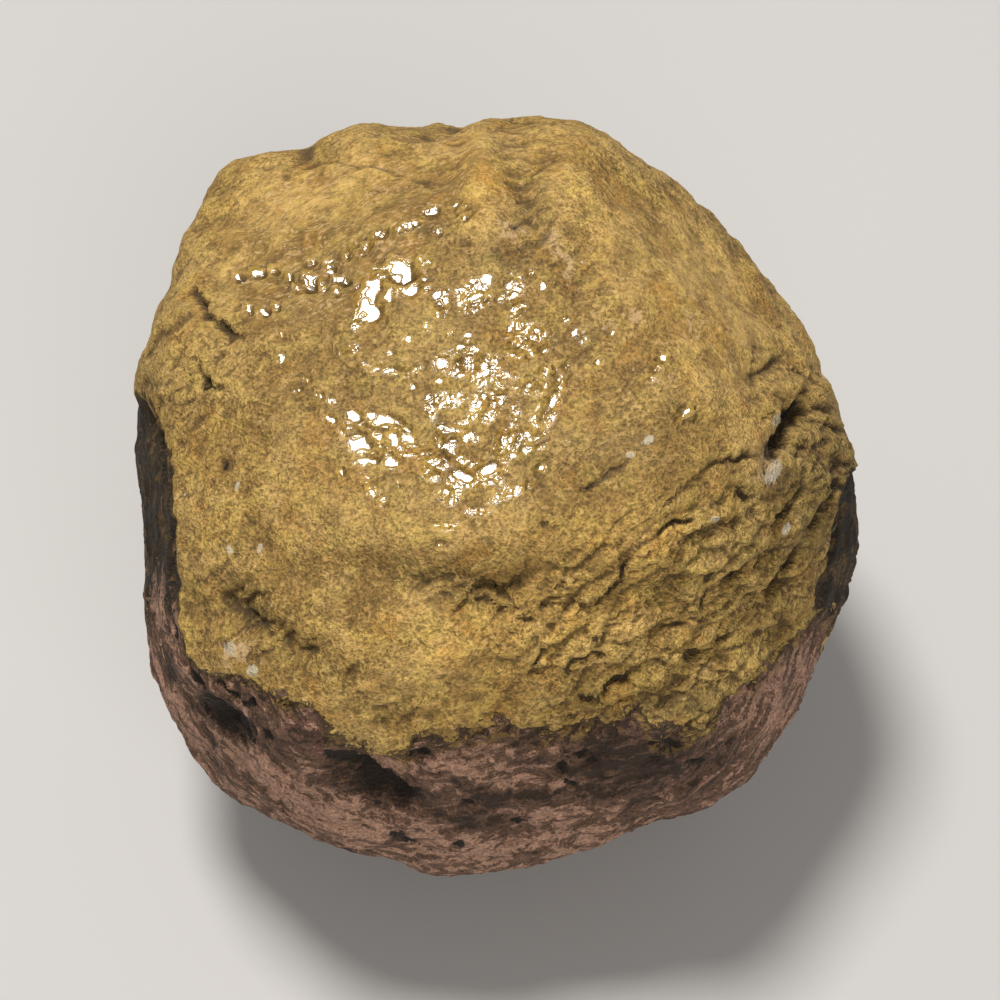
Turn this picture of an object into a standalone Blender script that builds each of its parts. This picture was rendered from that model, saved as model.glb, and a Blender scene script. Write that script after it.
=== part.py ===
"""An agate nodule: one rounded natural stone with an ochre rind, resting on a small flat spot.

The stone is a rounded body with flats knocked off it. Ledges, cracks, hollows and pits are cut
into the body, so that it stays one closed solid. Lengths in this file are millimetres, and the
finished mesh is in metres with +Z up. Its origin is on the flat spot, below the stone's middle.
"""

import math

import bmesh
import bpy
import numpy as np
from mathutils import Vector, noise

METRES = 0.001

# The face that shows when the stone is held leans back, so it is looked down on at this angle.
# ACROSS, UP and OUT are that face's own axes: to the right, up the face, and straight out of it.
FACE_TILT = math.radians(52.0)
ACROSS = np.array([1.0, 0.0, 0.0])
UP = np.array([0.0, math.sin(FACE_TILT), math.cos(FACE_TILT)])
OUT = np.array([0.0, -math.cos(FACE_TILT), math.sin(FACE_TILT)])

# Driving sizes of the body, from its centre
FRONT_DEPTH = 27.5
BACK_DEPTH = 27.0
BASE_DEPTH = 27.2
BODY_FULLNESS = 2.35
EYE_DISTANCE = 220.0

# Half-width of the face at each angle round it, in degrees from the right, anticlockwise
RIM = (
    (0, 29.8), (15, 28.8), (30, 28.8), (45, 29.2), (60, 30.0), (70, 30.4), (80, 32.5),
    (90, 30.8), (103, 31.2), (109, 32.4), (115, 32.3), (124, 34.0), (130, 35.3), (136, 34.4),
    (146, 31.7), (156, 30.8), (168, 30.0), (180, 29.4), (195, 29.6), (207, 30.4),
    (216, 31.8), (230, 33.1), (242, 31.4), (252, 31.2), (258, 32.0), (262, 32.5), (267, 31.0),
    (272, 29.7), (288, 28.8), (297, 28.8), (305, 31.4), (318, 31.2), (330, 29.3), (345, 29.7),
)  # fmt: skip

# Flats of the seen face: the way each leans on the face in degrees, how far it leans back from
# the line of sight, its distance from the centre, and how softly its edge is rounded
FACE_FLATS = (
    (40, 60, 25.4, 3.0),
    (122, 48, 27.4, 2.5),
    (90, 68, 29.6, 3.0),
    (98, 18, 25.0, 4.0),
    (-80, 34, 26.8, 6.0),
    (-22, 46, 27.0, 5.0),
    (176, 30, 26.6, 4.0),
    (182, 73, 28.8, 1.0),
    (-95, 62, 30.6, 3.0),
    (-138, 64, 31.0, 3.0),
    (-45, 68, 30.0, 3.0),
)

# Flats of the far side: compass angle from +X, height angle, distance and rounding
FAR_FLATS = (
    (70, 5, 28.6, 4.0),
    (118, -18, 28.4, 4.0),
    (20, -28, 27.6, 4.0),
    (165, -32, 27.8, 4.0),
    (-90, -50, 30.6, 4.0),
    (-125, -62, 27.4, 2.0),
)

# Uneven swells of the whole stone: wavelength and height
SWELLS = ((17.0, 0.9), (7.5, 0.5), (3.6, 0.28))

# The rind breaks in ledges that follow the bedding. BEDDING is the way up through the beds.
BEDDING = -math.sin(math.radians(33)) * ACROSS + math.cos(math.radians(33)) * UP
LEDGE_SPACING = 4.2
LEDGE_HEIGHT = 0.9

# Where the ledges show: middle of each rough area as a lean on the face, and its angular reach
ROUGH_AREAS = ((-28, 44, 30), (12, 66, 22), (160, 62, 20), (-60, 150, 45), (60, 120, 30))

# Marks on the seen face are placed on a map of it: the plane through the centre, square to the
# line of sight, in millimetres right and up, with the eye EYE_DISTANCE away from it.

# Grooves and cracks: their points on the map, half-width and depth
GROOVES = (
    (((-24.7, 17.2), (-23.8, 16.0), (-22.6, 14.6), (-21.0, 13.4)), 0.7, 1.5),
    (((-24.6, 11.9), (-24.0, 10.3), (-22.8, 9.7), (-21.8, 10.1)), 0.8, 1.2),
    (((25.8, 8.2), (24.7, 6.6), (23.6, 4.9), (22.8, 2.9)), 1.0, 2.4),
    (((3.1, 27.6), (3.3, 25.0), (3.9, 23.0), (6.6, 18.5)), 1.4, 0.8),
    (((8.4, -8.7), (9.4, -7.4), (10.5, -5.7), (11.0, -4.7)), 0.7, 0.9),
    (((5.1, -14.8), (6.4, -13.5), (8.7, -12.3), (9.4, -11.5)), 0.7, 1.1),
    (((6.4, -16.1), (8.3, -16.3), (9.6, -15.2), (11.7, -13.8)), 0.7, 1.1),
    (((11.7, -13.8), (13.3, -13.3), (15.0, -13.8), (15.8, -14.1)), 0.7, 0.9),
    (((15.6, 1.6), (18.0, 3.4), (19.1, 3.7), (21.9, 4.0)), 0.8, 0.7),
    (((-6.8, -7.4), (-3.5, -7.6), (0.2, -8.2), (1.8, -8.6)), 1.1, 0.7),
    (((-22.4, -9.0), (-19.3, -11.5), (-14.6, -12.7), (-12.1, -13.8)), 1.2, 0.7),
    (((-25.4, -16.6), (-23.4, -18.4), (-20.2, -20.0), (-17.6, -20.6)), 0.9, 1.0),
    (((-28.8, 10.5), (-28.0, 4.0), (-27.4, -5.0), (-26.2, -10.5)), 0.8, 0.7),
)

# Lumps and hollows: place on the map, half-widths along and across, turn in degrees, and height
LUMPS = (
    (-25.6, 14.4, 2.0, 1.4, -40, 0.7),
    (-16.5, 27.6, 4.5, 0.8, -14, 0.5),
    (2.2, 27.5, 2.6, 4.0, 15, 0.8),
    (-12.0, 17.6, 6.5, 0.9, 3, 0.5),
    (-21.6, -9.6, 3.2, 2.0, -30, -0.7),
    (-3.9, -14.5, 7.5, 5.0, 0, 0.7),
    (-10.3, -23.6, 3.0, 2.0, -40, -1.2),
    (17.0, -17.5, 5.0, 2.2, 25, 0.8),
    (21.5, 6.0, 3.5, 1.6, 30, 0.6),
    (-21.8, 2.1, 0.9, 0.8, 0, -0.8),
    (7.0, -21.6, 1.5, 0.9, 10, -0.7),
    (15.0, -21.4, 1.8, 0.9, 15, -0.7),
    (-6.5, -28.4, 1.4, 0.9, 0, -0.6),
)

# Lumps and hollows of the far side: compass and height angles, reach in degrees, and height
FAR_LUMPS = (
    (95, 30, 9, 0.9),
    (60, -10, 7, -0.8),
    (130, 12, 8, -0.9),
    (100, -25, 8, 0.8),
    (150, -15, 5, -0.7),
    (25, -5, 7, 0.7),
    (45, -38, 7, -0.8),
    (-20, -25, 6, -0.7),
    (-160, -12, 7, 0.7),
    (-110, -30, 6, -0.7),
)

GRID_CUTS = 95
MESH_SHARE = 0.0865

# Colour of the rind, averaged over the stone, and how it shines when damp
RIND_COLOUR = (0.29, 0.18, 0.065, 1.0)
RIND_ROUGHNESS = 0.5


def smooth_min(a, b, rounding):
    """The lesser of a and b, with the edge between them rounded off."""
    blend = np.maximum(rounding - np.abs(a - b), 0.0) / rounding
    return np.minimum(a, b) - blend * blend * rounding / 4


def smooth_step(low, high, value):
    share = np.clip((value - low) / (high - low), 0.0, 1.0)
    return share * share * (3 - 2 * share)


def rim_radius(angle):
    """The face's half-width at an angle in degrees, on a smooth closed curve through RIM."""
    knots = np.array([row[0] for row in RIM], float)
    radii = np.array([row[1] for row in RIM], float)
    angle = np.mod(angle - knots[0], 360.0) + knots[0]
    right = np.searchsorted(knots, angle, side="right") % len(knots)
    left = right - 1
    span = np.mod(knots[right] - knots[left], 360.0)
    share = np.mod(angle - knots[left], 360.0) / span
    slopes = (np.roll(radii, -1) - np.roll(radii, 1)) / np.mod(
        np.roll(knots, -1) - np.roll(knots, 1), 360.0
    )
    s2, s3 = share**2, share**3
    return (
        (2 * s3 - 3 * s2 + 1) * radii[left]
        + (s3 - 2 * s2 + share) * span * slopes[left]
        + (3 * s2 - 2 * s3) * radii[right]
        + (s3 - s2) * span * slopes[right]
    )


def face_direction(toward, lean):
    """The unit vector that leans back from OUT by lean degrees, toward an angle on the face."""
    toward, lean = math.radians(toward), math.radians(lean)
    flat = math.cos(toward) * ACROSS + math.sin(toward) * UP
    return math.sin(lean) * flat + math.cos(lean) * OUT


def compass_direction(compass, height):
    compass, height = math.radians(compass), math.radians(height)
    level = math.cos(height)
    return np.array([level * math.cos(compass), level * math.sin(compass), math.sin(height)])


def cut_flat(radius, directions, normal, distance, rounding):
    facing = directions @ normal
    plane = np.where(facing > 0.05, distance / np.maximum(facing, 0.05), 1e3)
    return smooth_min(radius, plane, rounding)


def body_radius(directions):
    """Distance from the centre to the rounded body with its flats, along each direction."""
    across, up, out = directions @ ACROSS, directions @ UP, directions @ OUT
    sideways = np.hypot(across, up)
    rim = rim_radius(np.degrees(np.arctan2(up, across)))
    depth = np.where(out > 0, FRONT_DEPTH, BACK_DEPTH)
    total = (sideways / rim) ** BODY_FULLNESS + (np.abs(out) / depth) ** BODY_FULLNESS
    radius = total ** (-1 / BODY_FULLNESS)
    for toward, lean, distance, rounding in FACE_FLATS:
        radius = cut_flat(radius, directions, face_direction(toward, lean), distance, rounding)
    for compass, height, distance, rounding in FAR_FLATS:
        normal = compass_direction(compass, height)
        radius = cut_flat(radius, directions, normal, distance, rounding)
    return radius


def swell(points, wavelength):
    """Smooth noise from about -1 to 1 at each point."""
    return np.array([noise.noise(Vector(point)) for point in points / wavelength])


def ledges(points, directions):
    """Steps in the rough areas: each rises to a lip at its lower edge and falls away above it."""
    rough = np.zeros(len(points))
    for toward, lean, reach in ROUGH_AREAS:
        turned = np.degrees(np.arccos(np.clip(directions @ face_direction(toward, lean), -1, 1)))
        rough = np.maximum(rough, smooth_step(reach, 0.4 * reach, turned))
    beds = points @ BEDDING / LEDGE_SPACING + 1.1 * swell(points, 9.0) + 0.15 * swell(points, 3.0)
    share = beds - np.floor(beds)
    profile = smooth_step(0.0, 0.2, share) * (1 - share) - 0.4
    return LEDGE_HEIGHT * rough * (0.7 + 0.8 * swell(points + 60.0, 5.0)) * profile


def far_lumps(directions):
    height = np.zeros(len(directions))
    for compass, lift, reach, rise in FAR_LUMPS:
        facing = np.clip(directions @ compass_direction(compass, lift), -1, 1)
        turned = np.degrees(np.arccos(facing)) / reach
        height += rise * np.exp(-turned * turned / 2)
    return height


def on_map(points):
    """Each point's place on the map of the seen face, and how far it is on that face, 0 to 1."""
    out = points @ OUT
    scale = EYE_DISTANCE / (EYE_DISTANCE - out)
    return points @ ACROSS * scale, points @ UP * scale, smooth_step(-2.0, 3.0, out)


def away_from_line(x, y, line):
    """Distance on the map from a line through points, and how far along it, 0 to 1."""
    line = np.array(line)
    runs = np.hypot(*np.diff(line, axis=0).T)
    nearest = np.full(len(x), 1e3)
    along = np.zeros(len(x))
    passed = 0.0
    for start, end, run in zip(line[:-1], line[1:], runs):
        step = (end - start) / run
        t = np.clip((x - start[0]) * step[0] + (y - start[1]) * step[1], 0.0, run)
        gap = np.hypot(x - start[0] - t * step[0], y - start[1] - t * step[1])
        closer = gap < nearest
        nearest = np.where(closer, gap, nearest)
        along = np.where(closer, (passed + t) / runs.sum(), along)
        passed += run
    return nearest, along


def marks(points):
    """Height of the lumps less the depth of the hollows, grooves and cracks at each point."""
    x, y, seen = on_map(points)
    height = np.zeros(len(points))
    for middle_x, middle_y, long_way, short_way, turn, rise in LUMPS:
        cosine, sine = math.cos(math.radians(turn)), math.sin(math.radians(turn))
        u = ((x - middle_x) * cosine + (y - middle_y) * sine) / long_way
        v = ((y - middle_y) * cosine - (x - middle_x) * sine) / short_way
        height += rise * np.exp(-(u * u + v * v) / 2)
    x = x + 0.4 * swell(points, 2.2)
    y = y + 0.4 * swell(points + 40.0, 2.2)
    cut = np.zeros(len(points))
    for line, half_width, depth in GROOVES:
        gap, along = away_from_line(x, y, line)
        taper = np.sqrt(np.clip(4 * along * (1 - along), 0.15, 1.0))
        cut = np.maximum(cut, depth * taper * np.exp(-((gap / half_width) ** 2)))
    return (height - cut) * seen


def ball_mesh(cuts):
    """A ball of even square faces, as a bmesh with its points one unit from the centre."""
    ball = bmesh.new()
    bmesh.ops.create_cube(ball, size=2.0)
    bmesh.ops.subdivide_edges(ball, edges=ball.edges[:], cuts=cuts, use_grid_fill=True)
    for vert in ball.verts:
        vert.co = Vector([math.tan(side * math.pi / 4) for side in vert.co]).normalized()
    return ball


def rind_material():
    rind = bpy.data.materials.new("rind")
    rind.use_nodes = True
    shader = rind.node_tree.nodes["Principled BSDF"]
    shader.inputs["Base Color"].default_value = RIND_COLOUR
    shader.inputs["Roughness"].default_value = RIND_ROUGHNESS
    shader.inputs["Metallic"].default_value = 0.0
    return rind


def nodule():
    ball = ball_mesh(GRID_CUTS)
    directions = np.array([vert.co for vert in ball.verts])
    radius = body_radius(directions)
    for wavelength, height in SWELLS:
        radius = radius + height * swell(directions * radius[:, None], wavelength)
    points = directions * radius[:, None]
    radius = radius + ledges(points, directions) + marks(points) + far_lumps(directions)
    radius = cut_flat(radius, directions, np.array([0, 0, -1.0]), BASE_DEPTH, 1.5)
    points = directions * radius[:, None] + np.array([0, 0, BASE_DEPTH])
    for vert, point in zip(ball.verts, points):
        vert.co = Vector(point) * METRES
    mesh = bpy.data.meshes.new("nodule")
    ball.to_mesh(mesh)
    ball.free()
    mesh.materials.append(rind_material())
    mesh.shade_smooth()
    stone = bpy.data.objects.new("nodule", mesh)
    bpy.context.scene.collection.objects.link(stone)
    fewer = stone.modifiers.new("fewer faces", "DECIMATE")
    fewer.ratio = MESH_SHARE
    return stone


for old in list(bpy.data.objects):
    bpy.data.objects.remove(old)
nodule()
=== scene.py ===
"""The looks of one agate nodule: a damp, ochre-skinned stone lying on a pale studio floor.

Lengths are millimetres until a mesh is made, which is in metres. The stone is worked out from its
own centre, and it is seen from the side that its best face leans toward.
"""

import math

import bmesh
import bpy
import numpy as np
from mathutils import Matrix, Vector, noise


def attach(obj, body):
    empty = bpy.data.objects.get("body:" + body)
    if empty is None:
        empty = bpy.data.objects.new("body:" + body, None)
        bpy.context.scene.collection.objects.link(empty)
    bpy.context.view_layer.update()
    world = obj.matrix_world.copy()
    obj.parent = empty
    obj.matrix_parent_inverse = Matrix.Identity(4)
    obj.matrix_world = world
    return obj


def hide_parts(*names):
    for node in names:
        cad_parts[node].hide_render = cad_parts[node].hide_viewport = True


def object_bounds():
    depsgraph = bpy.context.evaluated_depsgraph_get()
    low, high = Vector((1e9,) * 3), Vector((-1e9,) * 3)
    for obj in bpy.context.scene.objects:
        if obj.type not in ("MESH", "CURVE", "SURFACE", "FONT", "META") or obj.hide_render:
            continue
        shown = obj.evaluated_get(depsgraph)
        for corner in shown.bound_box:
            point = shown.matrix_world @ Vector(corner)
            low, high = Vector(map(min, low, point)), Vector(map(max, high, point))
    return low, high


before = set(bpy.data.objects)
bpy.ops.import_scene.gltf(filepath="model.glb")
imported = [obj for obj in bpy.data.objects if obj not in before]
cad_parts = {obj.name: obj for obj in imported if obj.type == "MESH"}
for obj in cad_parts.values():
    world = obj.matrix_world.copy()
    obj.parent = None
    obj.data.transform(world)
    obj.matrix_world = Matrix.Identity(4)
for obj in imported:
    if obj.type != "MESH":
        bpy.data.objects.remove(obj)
cad_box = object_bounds()


# The stone's body. The real one is a cobble of agate, rolled round and then knocked about, so it
# is a rounded lump with worn flats between soft edges. It is made as the distance from its centre
# in every direction: a rounded body, its outline measured round the best face, cut by flats.

METRES = 0.001

# The best face looks this far above level; the ways right on it, up it and straight out of it
FACE_TILT = math.radians(52.0)
ACROSS = np.array([1.0, 0.0, 0.0])
UP = np.array([0.0, math.sin(FACE_TILT), math.cos(FACE_TILT)])
OUT = np.array([0.0, -math.cos(FACE_TILT), math.sin(FACE_TILT)])

# Depths from the centre to the front, to the back and down to the floor, how full the rounded
# body is toward its corners, and how far away the eye is
FRONT_DEPTH = 27.5
BACK_DEPTH = 27.0
BASE_DEPTH = 27.2
BODY_FULLNESS = 2.35
EYE_DISTANCE = 220.0

# A flat that faces a direction by less than this share doesn't cut it
GLANCING = 0.05
FAR_AWAY = 1e3

# Half-width of the face at each angle round it, in degrees from the right, anticlockwise
RIM = (
    (0, 29.8), (15, 28.8), (30, 28.8), (45, 29.2), (60, 30.0), (70, 30.4), (80, 32.5),
    (90, 30.8), (103, 31.2), (109, 32.4), (115, 32.3), (124, 34.0), (130, 35.3), (136, 34.4),
    (146, 31.7), (156, 30.8), (168, 30.0), (180, 29.4), (195, 29.6), (207, 30.4),
    (216, 31.8), (230, 33.1), (242, 31.4), (252, 31.2), (258, 32.0), (262, 32.5), (267, 31.0),
    (272, 29.7), (288, 28.8), (297, 28.8), (305, 31.4), (318, 31.2), (330, 29.3), (345, 29.7),
)  # fmt: skip

# Flats of the seen face: the way each leans on the face in degrees, how far it leans back from
# the line of sight, its distance from the centre, and how softly its edge is rounded
FACE_FLATS = (
    (40, 60, 25.4, 3.0),
    (122, 48, 27.4, 2.5),
    (90, 68, 29.6, 3.0),
    (98, 18, 25.0, 4.0),
    (-80, 34, 26.8, 6.0),
    (-22, 46, 27.0, 5.0),
    (176, 30, 26.6, 4.0),
    (182, 73, 28.8, 1.0),
    (-95, 62, 30.6, 3.0),
    (-138, 64, 31.0, 3.0),
    (-45, 68, 30.0, 3.0),
)

# Flats of the far side: compass angle from +X, height angle, distance and rounding
FAR_FLATS = (
    (70, 5, 28.6, 4.0),
    (118, -18, 28.4, 4.0),
    (20, -28, 27.6, 4.0),
    (165, -32, 27.8, 4.0),
    (-90, -50, 30.6, 4.0),
    (-125, -62, 27.4, 2.0),
)


def smooth_min(a, b, rounding):
    """The lesser of a and b, with the edge between them rounded off."""
    blend = np.maximum(rounding - np.abs(a - b), 0.0) / rounding
    return np.minimum(a, b) - blend * blend * rounding / 4


def smooth_step(low, high, value):
    """0 up to low, 1 from high on, and a soft rise between."""
    share = np.clip((value - low) / (high - low), 0.0, 1.0)
    return share * share * (3 - 2 * share)


def rim_radius(angle):
    """The face's half-width at an angle in degrees, on a smooth closed curve through RIM."""
    knots = np.array([row[0] for row in RIM], float)
    radii = np.array([row[1] for row in RIM], float)
    angle = np.mod(angle - knots[0], 360.0) + knots[0]
    right = np.searchsorted(knots, angle, side="right") % len(knots)
    left = right - 1
    span = np.mod(knots[right] - knots[left], 360.0)
    share = np.mod(angle - knots[left], 360.0) / span
    slopes = (np.roll(radii, -1) - np.roll(radii, 1)) / np.mod(
        np.roll(knots, -1) - np.roll(knots, 1), 360.0
    )
    s2, s3 = share**2, share**3
    return (
        (2 * s3 - 3 * s2 + 1) * radii[left]
        + (s3 - 2 * s2 + share) * span * slopes[left]
        + (3 * s2 - 2 * s3) * radii[right]
        + (s3 - s2) * span * slopes[right]
    )


def turned_from(directions, way):
    """Angle in degrees between each direction and one way."""
    return np.degrees(np.arccos(np.clip(directions @ way, -1.0, 1.0)))


def face_direction(toward, lean):
    """The unit vector that leans back from OUT by lean degrees, toward an angle on the face."""
    toward, lean = math.radians(toward), math.radians(lean)
    flat = math.cos(toward) * ACROSS + math.sin(toward) * UP
    return math.sin(lean) * flat + math.cos(lean) * OUT


def compass_direction(compass, height):
    compass, height = math.radians(compass), math.radians(height)
    level = math.cos(height)
    return np.array([level * math.cos(compass), level * math.sin(compass), math.sin(height)])


def cut_flat(radius, directions, normal, distance, rounding):
    """The radius cut off by a flat that faces along normal at a distance from the centre."""
    facing = directions @ normal
    plane = np.where(facing > GLANCING, distance / np.maximum(facing, GLANCING), FAR_AWAY)
    return smooth_min(radius, plane, rounding)


def body_radius(directions):
    """Distance from the centre to the rounded body with its flats, along each direction."""
    across, up, out = directions @ ACROSS, directions @ UP, directions @ OUT
    sideways = np.hypot(across, up)
    rim = rim_radius(np.degrees(np.arctan2(up, across)))
    depth = np.where(out > 0, FRONT_DEPTH, BACK_DEPTH)
    total = (sideways / rim) ** BODY_FULLNESS + (np.abs(out) / depth) ** BODY_FULLNESS
    radius = total ** (-1 / BODY_FULLNESS)
    for toward, lean, distance, rounding in FACE_FLATS:
        radius = cut_flat(radius, directions, face_direction(toward, lean), distance, rounding)
    for compass, height, distance, rounding in FAR_FLATS:
        normal = compass_direction(compass, height)
        radius = cut_flat(radius, directions, normal, distance, rounding)
    return radius


# The grid of the rind. One closed ball of even squares, drawn a little closer together on the
# best face, so that its ledges and cracks are real geometry.

SQUARES_PER_SIDE = 128
FRONT_CLOSENESS = 0.7


def ball_of_squares():
    """The ball as a bmesh, its points one unit from the centre and closest round OUT."""
    ball = bmesh.new()
    bmesh.ops.create_cube(ball, size=2.0)
    cuts = SQUARES_PER_SIDE - 1
    bmesh.ops.subdivide_edges(ball, edges=ball.edges[:], cuts=cuts, use_grid_fill=True)
    sides = np.array([vert.co for vert in ball.verts])
    sides = np.tan(sides * math.pi / 4)
    sides /= np.linalg.norm(sides, axis=1, keepdims=True)
    turned = np.arccos(np.clip(sides @ OUT, -1.0, 1.0))
    drawn = 2 * np.arctan(FRONT_CLOSENESS * np.tan(np.minimum(turned, math.pi - 1e-6) / 2))
    level = sides - (sides @ OUT)[:, None] * OUT
    length = np.maximum(np.linalg.norm(level, axis=1, keepdims=True), 1e-9)
    points = np.cos(drawn)[:, None] * OUT + np.sin(drawn)[:, None] * level / length
    return ball, points


ball, directions = ball_of_squares()
radius = body_radius(directions)


# The large relief. Weather has worn the stone into uneven swells, and its skin breaks along the
# bedding in ledges. Lumps, ridges and creases lie where they are on the real face.

# Wavelength and height of each layer of swells, and of the waves in the lines and ledges
SWELLS = ((17.0, 0.9), (7.5, 0.5), (3.6, 0.28))
LINE_WAVES = ((2.6, 0.5),)
LINE_ENDS = 0.1

# BEDDING is the way up through the beds, which lie slanted across the face
BED_SLANT = math.radians(33)
BEDDING = -math.sin(BED_SLANT) * ACROSS + math.cos(BED_SLANT) * UP
LEDGE_SPACING = 4.2
LEDGE_HEIGHT = 0.9
LEDGE_LIP = 0.2
LEDGE_WAVES = ((9.0, 1.1), (3.0, 0.15))

# Where the ledges show: middle of each rough area as a lean on the face, its reach, and how rough
ROUGH_AREAS = (
    (-28, 44, 30, 1.0),
    (12, 66, 22, 1.0),
    (-50, 30, 26, 0.75),
    (160, 62, 16, 0.45),
    (-60, 150, 45, 0.6),
    (60, 120, 30, 0.7),
)

# Smaller rough spots: place on the map, half-widths along and across, turn, and how rough
ROUGH_SPOTS = (
    (-20.3, -9.6, 2.6, 1.5, -35, 1.0),
    (-0.8, -7.6, 3.6, 1.2, -8, 1.0),
    (-16.0, -12.3, 2.2, 1.0, -30, 0.7),
    (3.0, 24.4, 1.6, 3.2, 12, 0.5),
    (-10.5, -15.5, 3.0, 1.2, -35, 0.5),
)

# Bumps and notches of the outline: angle round the face, half-width in degrees, and height
RIM_MARKS = (
    (101.5, 2.4, -0.4),
    (96.0, 3.0, -0.7),
    (85.0, 3.0, 0.45),
    (75.5, 2.5, -0.25),
    (113.0, 4.5, 0.55),
    (118.6, 1.6, -0.35),
    (126.0, 4.0, 0.25),
)

# How far from the rim they run over it, as a share of the radius
RIM_REACH = 0.35

# The marks of the seen face fade out toward the rim, between these heights over the centre
SEEN_FROM = -2.0
SEEN_FULLY = 3.0

# Ridges and soft creases: their points on the map of the face, half-width, and height
RIDGES_AND_CREASES = (
    (
        ((-26.6, 21.2), (-17.0, 21.2), (-11.8, 21.6), (-5.5, 24.2), (-2.3, 25.2), (-0.9, 27.5)),
        1.2,
        0.55,
    ),
    (((5.1, 27.9), (8.6, 24.2), (11.9, 20.5), (15.0, 15.5)), 1.6, 0.5),
    (((1.8, 27.6), (2.4, 25.4), (3.2, 23.0), (4.4, 20.8)), 1.5, -0.65),
    (((1.8, 29.4), (6.1, 25.5), (8.9, 22.3)), 0.9, -0.4),
    (((-27.5, -6.0), (-26.0, -13.5), (-22.5, -19.0)), 0.8, 0.5),
    (((-24.5, -6.8), (-23.0, -7.5), (-21.5, -9.6), (-18.6, -10.4), (-16.8, -12.4)), 0.9, -0.5),
    (((-3.7, -6.6), (-1.5, -7.0), (0.4, -7.6), (1.6, -8.6)), 0.8, -0.45),
)

# Lumps and hollows: place on the map, half-widths along and across, turn in degrees, and height
LUMPS = (
    (-25.6, 14.4, 2.0, 1.4, -40, 0.7),
    (-1.2, 25.6, 1.3, 3.0, 8, 1.5),
    (6.5, 29.5, 3.0, 2.4, -30, 0.6),
    (16.5, 14.5, 6.0, 1.4, -40, 0.8),
    (10.0, 3.2, 4.5, 1.6, 22, -0.6),
    (-3.5, -2.4, 9.5, 2.2, 4, 1.2),
    (-3.0, -6.6, 9.5, 1.6, -4, -0.75),
    (10.0, -6.5, 4.5, 2.2, 20, 0.6),
    (-19.0, 9.0, 2.4, 5.0, -10, 0.5),
    (-21.6, -9.6, 3.2, 2.0, -30, -0.5),
    (-3.6, -12.6, 6.0, 3.2, 0, 1.2),
    (-10.3, -23.6, 2.6, 1.8, -30, -1.3),
    (17.0, -17.5, 5.0, 2.2, 25, 0.8),
    (21.5, 6.0, 3.5, 1.6, 30, 0.6),
    (23.9, 6.9, 1.6, 0.7, 58, -1.3),
    (22.6, 2.3, 0.9, 0.5, 60, 0.35),
    (-13.5, -21.5, 3.5, 1.2, -35, -0.5),
)

# Lumps and hollows of the far side: compass and height angles, reach in degrees, and height
FAR_LUMPS = (
    (95, 30, 9, 0.9),
    (60, -10, 7, -0.8),
    (130, 12, 8, -0.9),
    (100, -25, 8, 0.8),
    (150, -15, 5, -0.7),
    (25, -5, 7, 0.7),
    (45, -38, 7, -0.8),
    (-20, -25, 6, -0.7),
    (-160, -12, 7, 0.7),
    (-110, -30, 6, -0.7),
)


def swell(points, wavelength):
    """Smooth noise from about -1 to 1 at each point."""
    return np.array([noise.noise(Vector(point)) for point in points / wavelength])


def layered_swell(points, layers):
    """Smooth noise in layers, each with its wavelength and height."""
    return sum(height * swell(points, wavelength) for wavelength, height in layers)


def rough_share(directions):
    """How much of the ledges each point has, 0 to 1."""
    rough = np.zeros(len(directions))
    for toward, lean, reach, share in ROUGH_AREAS:
        turned = turned_from(directions, face_direction(toward, lean))
        rough = np.maximum(rough, share * smooth_step(reach, 0.4 * reach, turned))
    return rough


def steps_up(beds, lip):
    """One step for each bed: it rises within a lip, a share of the bed, then falls away."""
    share = beds - np.floor(beds)
    return smooth_step(0.0, lip, share) * (1 - share) - 0.4


def ledges(points, rough):
    """Steps in the rough areas, each with its lip at its lower edge."""
    beds = points @ BEDDING / LEDGE_SPACING + layered_swell(points, LEDGE_WAVES)
    patchy = 0.7 + 0.8 * swell(points + 60.0, 5.0)
    return LEDGE_HEIGHT * rough * patchy * steps_up(beds, LEDGE_LIP)


def rim_marks(directions):
    """Height of the outline's bumps and notches, which run over the rim from front to back."""
    angle = np.degrees(np.arctan2(directions @ UP, directions @ ACROSS))
    beside = np.exp(-((directions @ OUT / RIM_REACH) ** 2))
    return beside * sum(rise * np.exp(-(((angle - at) / half) ** 2)) for at, half, rise in RIM_MARKS)


def far_lumps(directions):
    height = np.zeros(len(directions))
    for compass, lift, reach, rise in FAR_LUMPS:
        turned = turned_from(directions, compass_direction(compass, lift)) / reach
        height += rise * np.exp(-turned * turned / 2)
    return height


def on_map(points):
    """Each point's place on the map of the seen face, and how far it is on that face, 0 to 1.

    The map is the plane through the centre, square to the line of sight, in millimetres right
    and up, with the eye EYE_DISTANCE away from it.
    """
    out = points @ OUT
    scale = EYE_DISTANCE / (EYE_DISTANCE - out)
    return points @ ACROSS * scale, points @ UP * scale, smooth_step(SEEN_FROM, SEEN_FULLY, out)


def away_from_line(x, y, line):
    """Distance on the map from a line through points, plus on its left side, and how far along."""
    line = np.array(line)
    runs = np.hypot(*np.diff(line, axis=0).T)
    nearest = np.full(len(x), FAR_AWAY)
    along = np.zeros(len(x))
    passed = 0.0
    for start, end, run in zip(line[:-1], line[1:], runs):
        step = (end - start) / run
        east, north = x - start[0], y - start[1]
        t = np.clip(east * step[0] + north * step[1], 0.0, run)
        gap = np.hypot(east - t * step[0], north - t * step[1])
        gap = np.copysign(gap, step[0] * north - step[1] * east)
        closer = np.abs(gap) < np.abs(nearest)
        nearest = np.where(closer, gap, nearest)
        along = np.where(closer, (passed + t) / runs.sum(), along)
        passed += run
    return nearest, along


def tapered(along, least):
    """How full a line is along its length: 1 in the middle, thinning to the root of least."""
    return np.sqrt(np.clip(4 * along * (1 - along), least, 1.0))


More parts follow.
